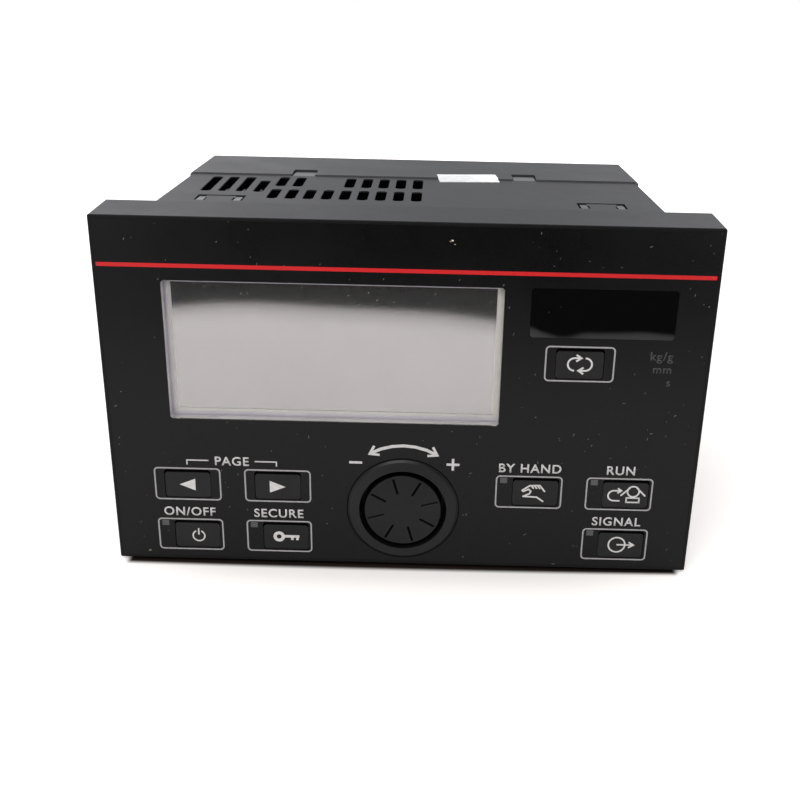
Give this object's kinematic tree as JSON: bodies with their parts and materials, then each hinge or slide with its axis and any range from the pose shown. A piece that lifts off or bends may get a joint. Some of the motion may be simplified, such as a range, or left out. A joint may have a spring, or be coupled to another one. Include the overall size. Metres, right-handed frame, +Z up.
{
  "type": "tension controller",
  "caption": "Panel-mount tension controller with a wide black front, grey display, numeric window, keys and a dial, on a vented tapering case with clamp slots.",
  "frame": {"origin": "centre of the mounting plane, the back of the front flange", "axes": "+X to the right of the front, +Y to the rear, into the panel, +Z up"},
  "size_m": [0.2, 0.1403, 0.124],
  "materials": {
    "bezel_plastic": "fine-textured moulded plastic, near black",
    "overlay_film": "matt printed film, black with a red line and pale marks",
    "key_rubber": "matt black",
    "dial_plastic": "satin black",
    "case_plastic": "fine-textured dark grey",
    "window_clear": "clear, smooth",
    "window_smoked": "smoked, smooth",
    "lcd_cell": "grey reflective liquid-crystal cell",
    "lcd_rim": "pale moulding",
    "light_plate": "milky light guide",
    "circuit_board": "green lacquered board",
    "digits": "dark face with pale segments",
    "plunger_plastic": "moulded",
    "switch_body": "moulded",
    "lamp_lens": "milky light pipe",
    "diode_resin": "clear resin",
    "steel": "zinc plated",
    "aluminium": "plain extrusion",
    "label_paper": "bare white label",
    "core_iron": "laminated core",
    "coil_tape": "taped copper winding",
    "chip_resin": "moulded package",
    "can_sleeve": "sleeved can",
    "terminal_green": "moulded terminal strip",
    "connector_pale": "moulded"
  },
  "bodies": {
    "housing": {"front_bezel": "bezel_plastic", "overlay_sheet": "overlay_film", "display_window": "window_clear", "readout_window": "window_smoked", "lcd_frame": "lcd_rim", "lcd_glass": "lcd_cell", "lcd_backlight": "light_plate", "lcd_board": "circuit_board", "readout_digits": "digits", "switch_housings": "switch_body", "indicator_leds": "diode_resin", "dial_collar": "dial_plastic", "encoder_body": "switch_body", "panel_board": "circuit_board", "board_screws": "steel", "main_case": "case_plastic", "rear_cover": "case_plastic", "seal_label": "label_paper", "power_board": "circuit_board", "control_board": "circuit_board", "board_pillars": "steel", "board_connector": "connector_pale", "heat_sink": "aluminium", "power_transistors": "chip_resin", "capacitors": "can_sleeve", "transformer_core": "core_iron", "transformer_coil": "coil_tape", "control_chips": "chip_resin", "power_terminals": "terminal_green", "signal_terminals": "terminal_green", "power_lamp": "lamp_lens", "lock_lamp": "lamp_lens", "manual_lamp": "lamp_lens", "auto_lamp": "lamp_lens", "output_lamp": "lamp_lens"},
    "menu_left_button": {"menu_left_key": "key_rubber", "menu_left_plunger": "plunger_plastic"},
    "menu_right_button": {"menu_right_key": "key_rubber", "menu_right_plunger": "plunger_plastic"},
    "power_button": {"power_key": "key_rubber", "power_plunger": "plunger_plastic"},
    "lock_button": {"lock_key": "key_rubber", "lock_plunger": "plunger_plastic"},
    "manual_button": {"manual_key": "key_rubber", "manual_plunger": "plunger_plastic"},
    "auto_button": {"auto_key": "key_rubber", "auto_plunger": "plunger_plastic"},
    "output_button": {"output_key": "key_rubber", "output_plunger": "plunger_plastic"},
    "cycle_button": {"cycle_key": "key_rubber", "cycle_plunger": "plunger_plastic"},
    "dial": {"dial_disc": "dial_plastic", "encoder_shaft": "steel"}
  },
  "joints": [
    {"name": "menu_left_press", "type": "slide", "parent": "housing", "child": "menu_left_button", "axis": [0, 1, 0], "range_m": [0, 0.0005], "stiffness_N_per_m": 2000},
    {"name": "menu_right_press", "type": "slide", "parent": "housing", "child": "menu_right_button", "axis": [0, 1, 0], "range_m": [0, 0.0005], "stiffness_N_per_m": 2000},
    {"name": "power_press", "type": "slide", "parent": "housing", "child": "power_button", "axis": [0, 1, 0], "range_m": [0, 0.0005], "stiffness_N_per_m": 2000},
    {"name": "lock_press", "type": "slide", "parent": "housing", "child": "lock_button", "axis": [0, 1, 0], "range_m": [0, 0.0005], "stiffness_N_per_m": 2000},
    {"name": "manual_press", "type": "slide", "parent": "housing", "child": "manual_button", "axis": [0, 1, 0], "range_m": [0, 0.0005], "stiffness_N_per_m": 2000},
    {"name": "auto_press", "type": "slide", "parent": "housing", "child": "auto_button", "axis": [0, 1, 0], "range_m": [0, 0.0005], "stiffness_N_per_m": 2000},
    {"name": "output_press", "type": "slide", "parent": "housing", "child": "output_button", "axis": [0, 1, 0], "range_m": [0, 0.0005], "stiffness_N_per_m": 2000},
    {"name": "cycle_press", "type": "slide", "parent": "housing", "child": "cycle_button", "axis": [0, 1, 0], "range_m": [0, 0.0005], "stiffness_N_per_m": 2000},
    {"name": "dial_turn", "type": "hinge", "parent": "housing", "child": "dial", "pos_m": [0, -0.0212, -0.0399], "axis": [0, 1, 0], "continuous": true}
  ]
}
